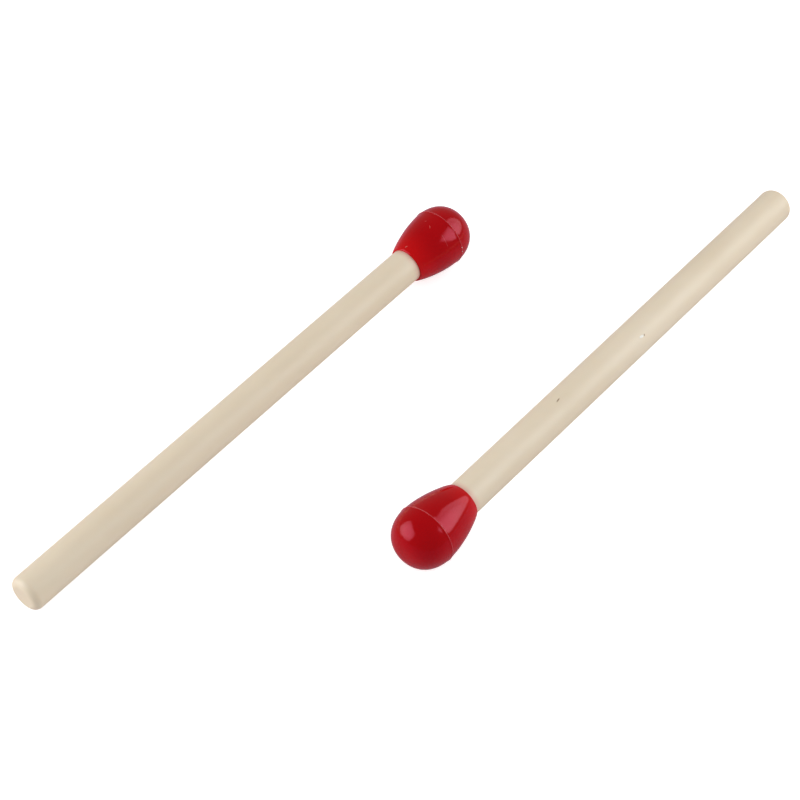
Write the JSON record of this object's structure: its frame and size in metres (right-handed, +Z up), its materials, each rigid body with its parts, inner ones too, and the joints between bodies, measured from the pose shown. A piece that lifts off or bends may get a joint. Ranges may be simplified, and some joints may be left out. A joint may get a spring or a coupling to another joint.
{
  "type": "glockenspiel mallets",
  "caption": "Glockenspiel mallets with round cream plastic handles and glossy red drop-shaped hard plastic heads, lying loose side by side, head to tail.",
  "frame": {"origin": "on the resting surface, under the middle of the box around both mallets", "axes": "+X along the mallets, towards the head of mallet_a and the butt end of mallet_b; +Z up; +Y from mallet_b to mallet_a"},
  "size_m": [0.2812, 0.097, 0.0205],
  "materials": {
    "handle_plastic": "smooth satin moulded plastic, cream, very faintly mottled",
    "head_plastic": "high-gloss hard moulded plastic, deep red"
  },
  "bodies": {
    "mallet_a": {"mallet_a_handle": "handle_plastic", "mallet_a_head_cone": "head_plastic", "mallet_a_head_dome": "head_plastic"},
    "mallet_b": {"mallet_b_handle": "handle_plastic", "mallet_b_head_cone": "head_plastic", "mallet_b_head_dome": "head_plastic"}
  },
  "joints": [
    {"name": "mallet_b_lift", "type": "slide", "parent": "mallet_a", "child": "mallet_b", "axis": [0, 0, 1], "range_m": [0, 0.12]}
  ]
}
